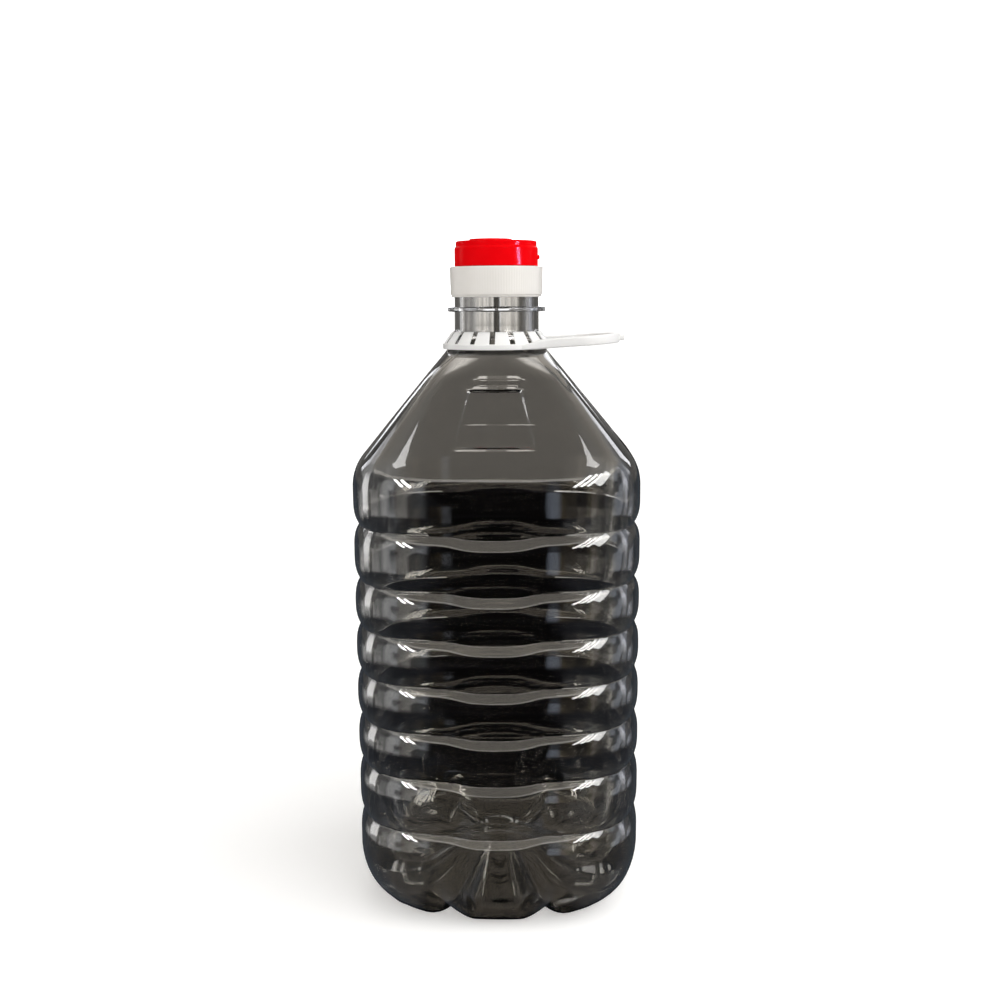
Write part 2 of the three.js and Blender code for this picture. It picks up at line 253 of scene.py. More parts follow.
class Socket:
    """A node's output that sums can be written with."""

    def __init__(self, maker, output):
        self.maker = maker
        self.output = output

    def __add__(self, other):
        return self.maker.math("ADD", self, other)

    def __radd__(self, other):
        return self.maker.math("ADD", other, self)

    def __sub__(self, other):
        return self.maker.math("SUBTRACT", self, other)

    def __rsub__(self, other):
        return self.maker.math("SUBTRACT", other, self)

    def __mul__(self, other):
        return self.maker.math("MULTIPLY", self, other)

    def __rmul__(self, other):
        return self.maker.math("MULTIPLY", other, self)

    def __truediv__(self, other):
        return self.maker.math("DIVIDE", self, other)

    def __rtruediv__(self, other):
        return self.maker.math("DIVIDE", other, self)

    def __pow__(self, other):
        return self.maker.math("POWER", self, other)

    def __abs__(self):
        return self.maker.math("ABSOLUTE", self)


class Maker:
    """Adds nodes to one tree."""

    # A Mix node's two sockets and its output, for each kind of value
    MIX_SOCKETS = {"VECTOR": (4, 5, 1), "RGBA": (6, 7, 2)}

    def __init__(self, tree):
        self.tree = tree

    def feed(self, inputs, values):
        """Sets a node's sockets, or links them to other nodes."""
        for name, value in values.items():
            if isinstance(value, Socket):
                self.tree.links.new(value.output, inputs[name])
            else:
                inputs[name].default_value = value

    def node(self, kind, settings=None, sockets=None, output=0):
        """A new node with its settings, then the values or links of its sockets."""
        made = self.tree.nodes.new(kind)
        for name, value in (settings or {}).items():
            if name == "stops":
                self.set_stops(made.color_ramp.elements, value)
            else:
                setattr(made, name, value)
        self.feed(made.inputs, sockets or {})
        return Socket(self, made.outputs[output])

    def set_stops(self, elements, stops):
        while len(elements) < len(stops):
            elements.new(1.0)
        for element, (position, tone) in zip(elements, stops):
            element.position = position
            element.color = (*tone, 1.0)

    def math(self, operation, *values):
        return self.node("ShaderNodeMath", {"operation": operation}, dict(enumerate(values)))

    def smooth(self, value, low, high):
        """0 at low and 1 at high, easing in and out."""
        ease = {"interpolation_type": "SMOOTHSTEP"}
        sockets = {"Value": value, "From Min": low, "From Max": high, "To Min": 0.0, "To Max": 1.0}
        return self.node("ShaderNodeMapRange", ease, sockets)

    def point(self, x, y, z):
        return self.node("ShaderNodeCombineXYZ", None, {"X": x, "Y": y, "Z": z})

    def axes(self, vector):
        """X, Y and Z of a vector."""
        x = self.node("ShaderNodeSeparateXYZ", None, {0: vector})
        return [Socket(self, output) for output in x.output.node.outputs]

    def scaled(self, vector, factor):
        settings = {"operation": "SCALE"}
        return self.node("ShaderNodeVectorMath", settings, {0: vector, "Scale": factor})

    def blend(self, factor, first, second, kind="RGBA"):
        """Colours or vectors mixed by a factor."""
        one, two, result = self.MIX_SOCKETS[kind]
        sockets = {0: factor, one: first, two: second}
        return self.node("ShaderNodeMix", {"data_type": kind}, sockets, result)


class GrowTree(Maker):
    """A Geometry Nodes tree with named inputs for its sizes."""

    KINDS = {int: "NodeSocketInt", float: "NodeSocketFloat"}

    def __init__(self, name, sizes):
        super().__init__(bpy.data.node_groups.new(name, "GeometryNodeTree"))
        face = self.tree.interface
        face.new_socket("Geometry", in_out="INPUT", socket_type="NodeSocketGeometry")
        for label, value in sizes.items():
            face.new_socket(label, in_out="INPUT", socket_type=self.KINDS[type(value)])
        face.new_socket("Material", in_out="INPUT", socket_type="NodeSocketMaterial")
        face.new_socket("Geometry", in_out="OUTPUT", socket_type="NodeSocketGeometry")
        start = self.tree.nodes.new("NodeGroupInput")
        self.given = {s.name: Socket(self, s) for s in start.outputs if s.name}

    def __getitem__(self, label):
        return self.given[label]

    def join(self, *parts):
        """Several geometries as one."""
        node = self.tree.nodes.new("GeometryNodeJoinGeometry")
        for part in parts:
            self.tree.links.new(part.output, node.inputs[0])
        return Socket(self, node.outputs[0])

    def at_row(self, value, row, kind="FLOAT"):
        """A value of the start mesh's points, read at a row's number."""
        sockets = {"Geometry": self["Geometry"], "Value": value, "Index": row}
        return self.node("GeometryNodeSampleIndex", {"data_type": kind}, sockets)

    def named(self, name):
        """A named value of the start mesh's points."""
        return self.node("GeometryNodeInputNamedAttribute", {"data_type": "FLOAT"}, {"Name": name})

    def grid(self, columns, rows):
        """A sheet of columns by rows points with each point's column and row."""
        sockets = {"Vertices X": columns, "Vertices Y": rows}
        sheet = self.node("GeometryNodeMeshGrid", None, sockets)
        index = self.node("GeometryNodeInputIndex")
        column = self.math("FLOOR", index / rows)
        return sheet, column, index - column * rows

    def around(self, radius, angle, height):
        """A point by its radius and angle about the axis and its height."""
        x = radius * self.math("COSINE", angle)
        y = radius * self.math("SINE", angle)
        return self.point(x, y, height)

    def place(self, geometry, position):
        sockets = {"Geometry": geometry, "Position": position}
        return self.node("GeometryNodeSetPosition", None, sockets)

    def weld(self, geometry, distance):
        sockets = {"Geometry": geometry, "Distance": distance}
        return self.node("GeometryNodeMergeByDistance", None, sockets)

    def finish(self, geometry, sharp_from):
        """Smooth faces with sharp edges past an angle, then real mesh and its material."""
        smooth = self.node("GeometryNodeSetShadeSmooth", None, {"Geometry": geometry})
        bend = self.node("GeometryNodeInputMeshEdgeAngle")
        past = {"A": bend, "B": sharp_from}
        sharp = self.node("FunctionNodeCompare", {"operation": "GREATER_THAN"}, past)
        edges = {"Geometry": smooth, "Selection": sharp, "Shade Smooth": False}
        shaded = self.node("GeometryNodeSetShadeSmooth", {"domain": "EDGE"}, edges)
        real = self.node("GeometryNodeRealizeInstances", None, {"Geometry": shaded})
        sockets = {"Geometry": real, "Material": self["Material"]}
        painted = self.node("GeometryNodeSetMaterial", None, sockets)
        end = self.tree.nodes.new("NodeGroupOutput")
        self.tree.links.new(painted.output, end.inputs[0])
        return self.tree


# Objects and numbers


def add_object(name, data):
    """A new object in the scene."""
    thing = bpy.data.objects.new(name, data)
    bpy.context.scene.collection.objects.link(thing)
    return thing


def start_mesh(name, points, values=None):
    """A line of points with named values, for a tree to grow from."""
    mesh = bpy.data.meshes.new(name)
    mesh.from_pydata(points, [(i, i + 1) for i in range(len(points) - 1)], [])
    for label, numbers in (values or {}).items():
        mesh.attributes.new(label, "FLOAT", "POINT").data.foreach_set("value", numbers)
    return mesh


def made_plain(piece):
    """Gives a piece the mesh that its modifier makes, and drops the modifier."""
    graph = bpy.context.evaluated_depsgraph_get()
    mesh = bpy.data.meshes.new_from_object(piece.evaluated_get(graph), depsgraph=graph)
    if not mesh.polygons:
        raise RuntimeError(f"{piece.name} came out empty")
    piece.modifiers.clear()
    piece.data = mesh
    mesh.name = piece.name
    return piece


def grow(name, mesh, tree, sizes, material):
    """Runs a tree on a start mesh and leaves its result as a plain mesh object."""
    piece = add_object(name, mesh)
    modifier = piece.modifiers.new(name, "NODES")
    modifier.node_group = tree
    values = {**sizes, "Material": material}
    for item in tree.interface.items_tree:
        if item.in_out == "INPUT" and item.name in values:
            modifier[item.identifier] = values[item.name]
    return made_plain(piece)


def dress(piece, body, node):
    """Puts a piece in a node's place on its body."""
    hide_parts(node)
    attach(piece, body)


def spread(start, end, steps):
    """Steps from start towards end, without the end."""
    return [start + (end - start) * i / steps for i in range(steps)]


def mix(start, end, fraction):
    """Between two numbers or two sockets."""
    return start + (end - start) * fraction


def eased(value, low, high):
    t = min(1.0, max(0.0, (value - low) / (high - low)))
    return t * t * (3 - 2 * t)


# The bottle

# What each row of the bottle holds
ROW_VALUES = ("half", "power", "height", "lift")

# Power of a superellipse that is a circle
CIRCLE = 2.0

# Rows of points along each stretch, from the middle of the underside to the mouth
PUNT_ROWS = 3
FLANK_ROWS = 15
FOOT_ROWS = 4
HEEL_ROWS = 14
GROOVE_ROWS = 8
TOP_BAND_ROWS = 3
BEND_ROWS = 13
PANEL_EDGE_ROWS = 5
PANEL_ROWS = 8
HIGH_SHOULDER_ROWS = 10
FILLET_ROWS = 6
NECK_ROWS = 3
RING_ROWS = 10
MOUTH_ROWS = 4

# How far apart the rows of a band stand, and how they crowd to the middle of a groove
BAND_ROW_GAP = 3 * MM
GROOVE_CROWDING = 1.3

# The support ring: how square its section is, and where the neck's rows end under it
RING_POWER = 8
RING_CLEARANCE = 0.6 * MM

# Heights over which the wall turns into the neck, the neck's hazier roughness and its painted light and
# shade start, and the ring's untinted painted light fades in
NECK_BLEND = 2.5 * MM
HAZE_AND_LIGHT_FADE = 3 * MM
RING_FADE = 0.3 * MM

# The wall's unevenness, how near points are welded, and the angle that makes an edge sharp
WANDER_SCALE = 22.0
WALL_WELD = 0.02 * MM
MOUTH_WELD = 0.05 * MM
BOTTLE_SHARP = math.radians(60)


def groove_heights(b):
    """Heights of the grooves from the lowest up."""
    heights = [b.top_groove]
    for i in range(1, b.grooves):
        pitch = b.end_pitch if i in (1, b.grooves - 1) else b.groove_pitch
        heights.insert(0, heights[0] - pitch)
    return heights


def base_rows(b):
    """Rows of the underside from its centre over the feet to the wall."""
    punt = [(r, CIRCLE, b.punt_height, 0.0) for r in spread(0.0, b.punt_radius, PUNT_ROWS)]
    flank = []
    for t in spread(0.0, 1.0, FLANK_ROWS):
        half = mix(b.punt_radius, b.foot_inner, t)
        height = b.punt_height * (1 - t) ** b.flank_curve
        flank.append((half, mix(CIRCLE, b.foot_power, t), height, math.sin(t * math.pi / 2)))
    foot = [(r, b.foot_power, 0.0, 1.0) for r in spread(b.foot_inner, b.foot_outer, FOOT_ROWS)]
    heel = []
    for t in spread(0.0, 1.0, HEEL_ROWS):
        turn = t * math.pi / 2
        half = mix(b.foot_outer, b.body_half, math.sin(turn))
        power = mix(b.foot_power, b.body_power, t)
        heel.append((half, power, b.heel_height * (1 - math.cos(turn)), math.cos(turn)))
    return punt + flank + foot + heel


def body_rows(b):
    """Rows of the straight wall, close together in the grooves."""
    offsets = [b.groove_reach * (i / GROOVE_ROWS) ** GROOVE_CROWDING for i in range(GROOVE_ROWS)]
    heights = []
    last = b.heel_height
    for groove in groove_heights(b):
        low = groove - b.groove_reach
        heights += spread(last, low, max(1, round((low - last) / BAND_ROW_GAP)))
        heights += [groove - offset for offset in offsets[:0:-1]]
        heights += [groove + offset for offset in offsets]
        last = groove + b.groove_reach
    heights += spread(last, b.shoulder_start, TOP_BAND_ROWS)
    return [(b.body_half, b.body_power, z, 0.0) for z in heights]


def shoulder_half(b, height):
    """Half width of the shoulder at a height: first the bend, then the slope."""
    turn = math.atan(b.shoulder_slope)
    bend_top = b.shoulder_start + b.shoulder_bend * math.sin(turn)
    if height > bend_top:
        top_half = b.body_half - b.shoulder_bend * (1 - math.cos(turn))
        return top_half - b.shoulder_slope * (height - bend_top)
    rise = height - b.shoulder_start
    return b.body_half - b.shoulder_bend + math.sqrt(b.shoulder_bend**2 - rise**2)


def shoulder_rows(b):
    """Rows of the shoulder, close together at the panels' edges."""
    heights = spread(b.shoulder_start, b.panel_bottom, BEND_ROWS)
    heights += spread(b.panel_bottom, b.panel_bottom + b.panel_edge, PANEL_EDGE_ROWS)
    heights += spread(b.panel_bottom + b.panel_edge, b.panel_top - b.panel_edge, PANEL_ROWS)
    heights += spread(b.panel_top - b.panel_edge, b.panel_top, PANEL_EDGE_ROWS)
    heights += spread(b.panel_top, b.neck_start - b.neck_fillet, HIGH_SHOULDER_ROWS)
    rows = []
    for z in heights:
        squarer = mix(b.body_power, b.shoulder_power, eased(z, b.shoulder_start, b.round_from))
        power = mix(squarer, CIRCLE, eased(z, b.round_from, b.round_at))
        rows.append((shoulder_half(b, z), power, z, 0.0))
    return rows


def neck_rows(b):
    """Rows of the neck with its support ring, up to the rim."""
    rows = []
    start = b.neck_start - b.neck_fillet
    start_half = shoulder_half(b, start)
    for t in spread(0.0, 1.0, FILLET_ROWS):
        half = mix(start_half, b.neck_radius, math.sin(t * math.pi / 2))
        rows.append((half, start + b.neck_fillet * t))
    under_ring = spread(b.neck_start, b.ring_bottom - RING_CLEARANCE, NECK_ROWS)
    rows += [(b.neck_radius, z) for z in under_ring]
    middle = (b.ring_bottom + b.ring_top) / 2
    reach = (b.ring_top - b.ring_bottom) / 2
    for t in spread(-1.0, 1.0, RING_ROWS):
        swell = math.sqrt(1 - abs(t) ** RING_POWER)
        rows.append((mix(b.neck_radius, b.ring_radius, swell), middle + reach * t))
    rows += [(b.neck_radius, z) for z in spread(b.ring_top, b.rim, MOUTH_ROWS)]
    rows.append((b.neck_radius, b.rim))
    return [(half, CIRCLE, z, 0.0) for half, z in rows]


def bottle_sizes(b):
    """The named inputs of the bottle's tree."""
    names = (
        "face_depth corner_depth groove_reach face_power corner_power face_floor floor_spread "
        "top_groove groove_pitch end_pitch seam "
        "foot_share foot_curve valley_rise panel_bottom panel_top panel_half panel_side panel_edge "
        "panel_depth wall unevenness neck_radius neck_bore neck_start rim"
    ).split()
    sizes = {name: float(getattr(b, name)) for name in names}
    return {"columns": b.columns, "feet": b.feet, **sizes}


def groove_cut(g, height, face, grooves):
    """How far the grooves stand in from the wall's fullest outline, at a height."""
    depth = mix(g["corner_depth"], g["face_depth"], face)
    power = mix(g["corner_power"], g["face_power"], face)
    floor = g["face_floor"] * g.smooth(face, 1 - g["floor_spread"], 1.0)
    centre = g["top_groove"]
    cut = 0.0
    for i in range(grooves):
        offset = abs(height - centre) / g["groove_reach"]
        wall = g.node("ShaderNodeClamp", None, {"Value": (1 - offset) / (1 - floor)})
        cut = depth * wall**power + cut
        pitch = g["end_pitch"] if i in (0, grooves - 2) else g["groove_pitch"]
        centre = centre - pitch
    return cut


def valley_lift(g, angle):
    """1 along the valleys between the feet, 0 on the feet."""
    turn = angle * g["feet"] / math.tau
    from_foot = abs(turn - g.math("ROUND", turn)) * 2
    return g.math("MAXIMUM", 1 - (1 - from_foot) / g["foot_share"], 0.0) ** g["foot_curve"]


def seam_line(g, column):
    """1 on the two columns where the mould's halves met, on opposite corners, 0 elsewhere."""
    half_turn = g["columns"] / 2
    first_corner = g["columns"] / 8
    turn = (column - first_corner) / half_turn
    columns_away = abs(turn - g.math("ROUND", turn)) * half_turn
    return g.math("LESS_THAN", columns_away, 0.5)


def panel_cut(g, height, angle):
    """How deep the shoulder's panels are pressed in."""
    quarter = math.pi / 2
    from_face = abs(angle - g.math("ROUND", angle / quarter) * quarter)
    across = g.smooth(g["panel_half"] - from_face, 0.0, g["panel_side"])
    ends = g.math("MINIMUM", height - g["panel_bottom"], g["panel_top"] - height)
    return g["panel_depth"] * across * g.smooth(ends, 0.0, g["panel_edge"])


def neck_share(g, height):
    """0 below the neck, 1 on it."""
    return g.smooth(height, g["neck_start"] - NECK_BLEND, g["neck_start"])


def outer_wall(g, rows, grooves):
    """The rows swept round the axis by the bottle's rules."""
    columns = g["columns"]
    sheet, column, row = g.grid(columns + 1, rows)
    half, power, level, lift = (g.at_row(g.named(name), row) for name in ROW_VALUES)
    angle = column * math.tau / columns
    cosine = g.math("COSINE", angle)
    sine = g.math("SINE", angle)
    section = half / (abs(cosine) ** power + abs(sine) ** power) ** (1 / power)
    # 1 in the middle of each of the four faces and 0 at a corner
    face = g.math("COSINE", angle * 4) * 0.5 + 0.5
    cut = groove_cut(g, level, face, grooves) + panel_cut(g, level, angle)
    seam = g["seam"] * seam_line(g, column) * (1 - neck_share(g, level))
    radius = section - cut + seam
    height = level + g["valley_rise"] * lift * valley_lift(g, angle)
    swept = g.place(sheet, g.point(radius * cosine, radius * sine, height))
    return g.weld(swept, WALL_WELD)


def bottle_tree(sizes, rows, grooves):
    """An outer wall that wanders a little, its inside, and the lip between them at the mouth."""
    g = GrowTree("jug_bottle_wall", sizes)
    columns = g["columns"]
    place = g.node("GeometryNodeInputPosition")
    normal = g.node("GeometryNodeInputNormal")
    x, y, z = g.axes(place)
    in_neck = neck_share(g, z)

    noise = g.node("ShaderNodeTexNoise", None, {"Scale": WANDER_SCALE, "Detail": 2.0})
    wander = (noise - 0.5) * g["unevenness"] * 2 * (1 - in_neck)
    sockets = {"Geometry": outer_wall(g, rows, grooves), "Offset": g.scaled(normal, wander)}
    outside = g.node("GeometryNodeSetPosition", None, sockets)

    step = g.scaled(normal, g["wall"] * -1)
    thinned = g.node("ShaderNodeVectorMath", {"operation": "ADD"}, {0: place, 1: step})
    reach = (x * x + y * y) ** 0.5
    shrink = g["neck_bore"] / g.math("MAXIMUM", reach, MM)
    bored = g.point(x * shrink, y * shrink, z)
    inner = g.blend(in_neck, thinned, bored, "VECTOR")
    inside = g.node("GeometryNodeFlipFaces", None, {"Mesh": g.place(outside, inner)})

    lip, column, row = g.grid(columns + 1, 2)
    radius = mix(g["neck_radius"], g["neck_bore"], row)
    lip = g.place(lip, g.around(radius, column * math.tau / columns, g["rim"]))
    return g.finish(g.weld(g.join(outside, inside, lip), MOUTH_WELD), BOTTLE_SHARP)


class JUG_OT_bottle(bpy.types.Operator):
    """Build the clear bottle"""

    bl_idname = "jug.bottle"
    bl_label = "Bottle"

    def execute(self, context):
        b = context.scene.jug_bottle
        rows = base_rows(b) + body_rows(b) + shoulder_rows(b) + neck_rows(b)
        values = {name: [row[i] for row in rows] for i, name in enumerate(ROW_VALUES)}
        line = start_mesh("bottle_rows", [(row[0], 0.0, row[2]) for row in rows], values)
        sizes = bottle_sizes(b)
        tree = bottle_tree(sizes, len(rows), b.grooves)
        material = smoke_and_shade_plastic(context.scene.jug_colours.smoke_and_shade, b)
        dress(grow("clear_bottle", line, tree, sizes, material), "jug", "bottle")
        return {"FINISHED"}


# Turned pieces

CORNER_STEPS = 5
BEVEL_STEPS = 4
TURNED_COLUMNS = 128
COLUMNS_PER_RIB = 4
TURNED_WELD = 0.004 * MM
TURNED_SHARP = math.radians(35)

# A stretch that ends before it starts, for a piece without ribs
NO_STRETCH = (1.0, 0.0)

# Roundings of the cap's corners
CAP_BORE_EDGE = 0.15 * MM
CAP_FOOT_EDGE = 0.3 * MM
CAP_NICK_EDGE = 0.1 * MM
CAP_LIP_EDGE = 0.35 * MM

# Roundings of the lid's corners
LID_FOOT_EDGE = 0.3 * MM
LID_STEP_EDGE = 0.4 * MM
LID_NICK_EDGE = 0.3 * MM
PAD_EDGE = 0.3 * MM

# The thumb lug and how far it is sunk into the lid
LUG_HALF = 3 * MM
LUG_RISE = 1.1 * MM
LUG_ROOT = 1.5 * MM
LUG_EDGE = 0.5 * MM


def rounded(corners):
    """An outline with each corner (radius, height, rounding) turned into a short curve."""
    points = []
    for i, (x, z, rounding) in enumerate(corners):
        here = Vector((x, z))
        if rounding == 0 or i in (0, len(corners) - 1):
            points.append((x, 0.0, z))
            continue
        back = (Vector(corners[i - 1][:2]) - here).normalized()
        ahead = (Vector(corners[i + 1][:2]) - here).normalized()
        start, end = here + back * rounding, here + ahead * rounding
        for k in range(CORNER_STEPS + 1):
            t = k / CORNER_STEPS
            p = start * (1 - t) ** 2 + here * 2 * t * (1 - t) + end * t**2
            points.append((p.x, 0.0, p.y))
    return points


def turned_tree(name, sizes, rows):
    """Turns the start mesh's outline about the axis, with fine ribs where it is ribbed."""
    g = GrowTree(name, sizes)
    columns = g["columns"]
    sheet, column, row = g.grid(columns + 1, rows)
    outline = g.node("GeometryNodeInputPosition")
    radius, _, height = g.axes(g.at_row(outline, row, "FLOAT_VECTOR"))
    angle = column * math.tau / columns
    wave = g.math("COSINE", angle * g["ribs"])
    radius = radius - g["rib_depth"] * (1 - wave) * g.at_row(g.named("ribbed"), row)
    x = radius * g.math("COSINE", angle) + g["shift"]
    y = radius * g.math("SINE", angle)
    whole = g.weld(g.place(sheet, g.point(x, y, height)), TURNED_WELD)
    return g.finish(whole, TURNED_SHARP)


def turned(
    name, outline, material, columns=TURNED_COLUMNS, ribs=1, rib_depth=0.0, ribbed=NO_STRETCH, shift=0.0
):
    """A piece turned from an outline. Its ribs run between the two heights in ribbed."""
    sizes = {"columns": columns, "ribs": ribs, "rib_depth": float(rib_depth), "shift": float(shift)}
    low, high = ribbed
    marks = [float(x > 0 and low <= z <= high) for x, _, z in outline]
    line = start_mesh(name, outline, {"ribbed": marks})
    return grow(name, line, turned_tree(name, sizes, len(outline)), sizes, material)


def joined(pieces):
    """Several pieces as one mesh under the first one's name."""
    first = pieces[0]
    with bpy.context.temp_override(active_object=first, selected_editable_objects=pieces):
        bpy.ops.object.join()
    return first


def block(name, low, high, rounding, material):
    """A box with rounded edges between two corners."""
    mesh = bpy.data.meshes.new(name)
    corners = list(itertools.product(*zip(low, high)))
    faces = [(0, 1, 3, 2), (4, 6, 7, 5), (0, 4, 5, 1), (2, 3, 7, 6), (0, 2, 6, 4), (1, 5, 7, 3)]
    mesh.from_pydata(corners, [], faces)
    mesh.materials.append(material)
    piece = add_object(name, mesh)
    bevel = piece.modifiers.new("rounding", "BEVEL")
    bevel.width = rounding
    bevel.segments = BEVEL_STEPS
    made_plain(piece)
    for polygon in piece.data.polygons:
        polygon.use_smooth = True
    return piece


class JUG_OT_cap_base(bpy.types.Operator):
    """Build the ivory screw cap"""

    bl_idname = "jug.cap_base"
    bl_label = "Screw cap"

    def execute(self, context):
        c = context.scene.jug_cap
        foot = c.foot_radius - c.edge
        corners = [
            (0.0, c.top - c.plate, 0.0),
            (c.bore, c.top - c.plate, 0.0),
            (c.bore, c.bottom, CAP_BORE_EDGE),
            (foot, c.bottom, CAP_FOOT_EDGE),
            (foot, c.bottom + c.lip, CAP_NICK_EDGE),
            (c.foot_radius, c.bottom + c.lip, CAP_LIP_EDGE),
            (c.foot_radius, c.bottom + 3 * c.lip, 0.0),
            (c.radius, c.top - 2 * c.edge, 0.0),
            (c.radius, c.top, c.edge),
            (0.0, c.top, 0.0),
        ]
        ivory = pale_plastic("ivory_moulded_plastic", context.scene.jug_colours.ivory)
        skirt = (c.bottom + 2 * c.lip, c.top - c.edge)
        piece = turned(
            "screw_cap", rounded(corners), ivory, columns=COLUMNS_PER_RIB * c.ribs, ribs=c.ribs,
            rib_depth=c.rib_depth, ribbed=skirt,
        )
        dress(piece, "jug", "cap_base")
        return {"FINISHED"}


class JUG_OT_cap_lid(bpy.types.Operator):
    """Build the red lid with its pad and thumb lug"""

    bl_idname = "jug.cap_lid"
    bl_label = "Lid"

    def execute(self, context):
        c = context.scene.jug_cap
        red = red_plastic(context.scene.jug_colours.red)
        inside = c.lid_top_radius - c.lid_wall
        cup = [
            (0.0, c.lid_top - c.lid_wall, 0.0),
            (inside, c.lid_top - c.lid_wall, 0.0),
            (inside, c.lid_bottom, 0.0),
            (c.lid_radius, c.lid_bottom, LID_FOOT_EDGE),
            (c.lid_radius, c.lid_step, LID_STEP_EDGE),
            (c.lid_top_radius, c.lid_step + c.lid_edge, LID_NICK_EDGE),
            (c.lid_top_radius, c.lid_top, c.lid_edge),
            (0.0, c.lid_top, 0.0),
        ]
        pad = [
            (0.0, c.lid_top - c.lid_wall / 2, 0.0),
            (c.pad_radius, c.lid_top - c.lid_wall / 2, 0.0),
            (c.pad_radius, c.pad_top, PAD_EDGE),
            (0.0, c.pad_top, 0.0),
        ]
        low = (c.lid_radius - LUG_ROOT, -LUG_HALF, c.lug_height - LUG_RISE)
        high = (c.lug_reach, LUG_HALF, c.lug_height + LUG_RISE)
        pieces = [
            turned("red_lid", rounded(cup), red),
            turned("lid_pad", rounded(pad), red, shift=c.pad_shift),
            block("lid_lug", low, high, LUG_EDGE, red),
        ]
        dress(joined(pieces), "jug", "cap_lid")
        return {"FINISHED"}


# The carry handle

# Points across a finger, through it and up it
FINGER_POINTS = (13, 5, 9)

# A finger thins towards its sides and its tip by these shares and powers
SIDE_THINNING = 0.4
SIDE_POWER = 6
TIP_THINNING = 0.35
TIP_POWER = 8

FINGER_ROOT = 0.8 * MM
STRAP_STEPS = 120
STRAP_FILLET_STEPS = 4
TAB_HALF = 3 * MM
TAB_EDGE = 0.6 * MM
HANDLE_SHARP = math.radians(50)

# Roundings of the rim's corners
RIM_FOOT_EDGE = 0.45 * MM
RIM_TOP_EDGE = 0.5 * MM
RIM_BORE_EDGE = 0.3 * MM


def finger_sizes(h):
    return {
        "slots": h.slots,
        "turn": float(h.slot_turn),
        "slot_width": float(h.slot_width),
        "low": float(h.bottom + h.rim),
        "high": float(h.top),
        "low_radius": float(h.radius - h.finger / 2),
        "high_radius": float(h.top_radius - h.finger / 2),
        "thickness": float(h.finger),
    }


def finger_tree(sizes):
    """One finger bent to the collar's cone, repeated round it between the slots."""
    g = GrowTree("jug_collar_fingers", sizes)
    points = {f"Vertices {axis}": many for axis, many in zip("XYZ", FINGER_POINTS)}
    cube = g.node("GeometryNodeMeshCube", None, {"Size": (2.0, 2.0, 1.0), **points})
    u, v, w = g.axes(g.node("GeometryNodeInputPosition"))
    rise = w + 0.5
    soft_side = 1 - SIDE_THINNING * abs(u) ** SIDE_POWER
    soft_tip = 1 - TIP_THINNING * rise**TIP_POWER
    middle = mix(g["low_radius"], g["high_radius"], rise)
    radius = middle + v * g["thickness"] * 0.5 * soft_side * soft_tip
    half_angle = math.pi / g["slots"] - g["slot_width"] * 0.5 / middle
    height = mix(g["low"] - FINGER_ROOT, g["high"], rise)
    bent = g.place(cube, g.around(radius, u * half_angle, height))
    spots = g.node("GeometryNodePoints", None, {"Count": g["slots"]})
    step = (g.node("GeometryNodeInputIndex") + 0.5) * math.tau / g["slots"] + g["turn"]
    sockets = {"Points": spots, "Instance": bent, "Rotation": g.point(0.0, 0.0, step)}
    ring = g.node("GeometryNodeInstanceOnPoints", None, sockets)
    real = g.node("GeometryNodeRealizeInstances", None, {"Geometry": ring})
    return g.finish(real, HANDLE_SHARP)


def strap_points(h):
    """The strap's middle line, out along one arm, round the end and back, and its section's share."""
    points = []
    shares = []
    for i in range(STRAP_STEPS + 1):
        from_tip = 2 * i / STRAP_STEPS - 1
        turn = min(1.0, 2 * abs(from_tip)) * math.pi / 2
        along_arm = max(0.0, 2 * abs(from_tip) - 1)
        x = mix(h.loop_bend + h.loop_end * math.cos(turn), h.arm_start, along_arm)
        grown = eased(x, h.arm_start, h.arm_blend)
        y = math.copysign(mix(h.arm_root, h.arm_spread, grown) * math.sin(turn), from_tip)
        rise = (x - h.collar_edge) * math.tan(h.loop_tilt) - h.root_drop * (1 - grown)
        points.append((x, y, h.loop_height + rise))
        shares.append(mix(h.root_share, 1.0, grown))
    return points, shares


def strap_tree(sizes):
    """Sweeps a rounded strap along the start mesh."""
    g = GrowTree("jug_handle_strap", sizes)
    path = g.node("GeometryNodeMeshToCurve", None, {"Mesh": g["Geometry"]})
    upright = g.node("GeometryNodeSetCurveNormal", {"mode": "Z_UP"}, {"Curve": path})
    section = g.node(
        "GeometryNodeCurvePrimitiveQuadrilateral", None,
        {"Width": g["thickness"], "Height": g["height"]},
    )
    corners = {"Count": STRAP_FILLET_STEPS, "Radius": g["fillet"], "Limit Radius": True}
    soft = g.node("GeometryNodeFilletCurve", {"mode": "POLY"}, {"Curve": section, **corners})
    ends = {"Scale": g.named("share"), "Fill Caps": True}
    strap = g.node("GeometryNodeCurveToMesh", None, {"Curve": upright, "Profile Curve": soft, **ends})
    return g.finish(strap, HANDLE_SHARP)


